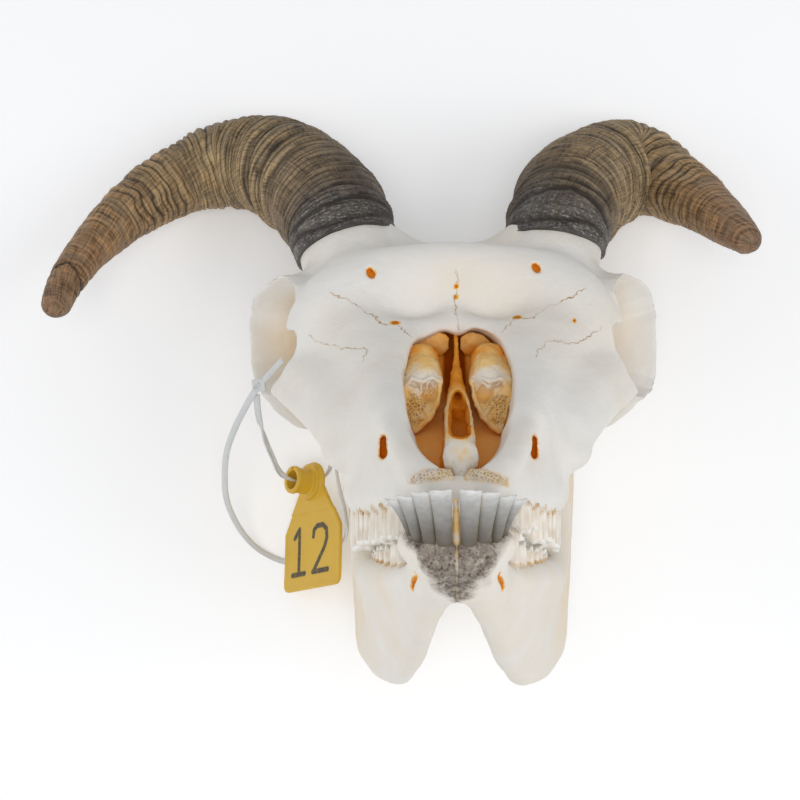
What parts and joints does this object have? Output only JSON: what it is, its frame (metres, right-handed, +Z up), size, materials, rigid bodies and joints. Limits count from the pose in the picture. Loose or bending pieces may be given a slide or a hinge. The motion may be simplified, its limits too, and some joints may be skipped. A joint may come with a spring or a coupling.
{
  "type": "bighorn ram skull",
  "caption": "Bleached bighorn ram skull with its lower jaw, curled horn sheaths and a yellow ear tag on a nylon tie, lying on its back with the open nose up.",
  "frame": {"origin": "centre of the bounding box, on the floor that the skull lies on", "axes": "+Z up from the floor towards the open nose and the front teeth, +Y towards the forehead and the horns, +X to the right as the face is looked at from above"},
  "size_m": [0.2978, 0.2544, 0.252],
  "materials": {
    "bone": "dry bleached bone, smooth and slightly porous",
    "nasal_bone": "thin porous bone stained orange brown",
    "horn": "dry ridged horn with fine lengthwise fibres",
    "tag_plastic": "satin moulded flexible plastic",
    "nylon": "translucent white moulded nylon"
  },
  "bodies": {
    "root": {"forehead": "bone", "brain_case": "bone", "zygomatic_left": "bone", "zygomatic_right": "bone", "maxilla_left": "bone", "maxilla_right": "bone", "turbinate_left": "nasal_bone", "turbinate_right": "nasal_bone", "vomer": "nasal_bone", "mandible_left": "bone", "mandible_right": "bone", "horn_sheath_left": "horn", "horn_sheath_right": "horn", "ear_tag": "tag_plastic", "cable_tie": "nylon", "tie_head": "nylon"}
  },
  "joints": []
}
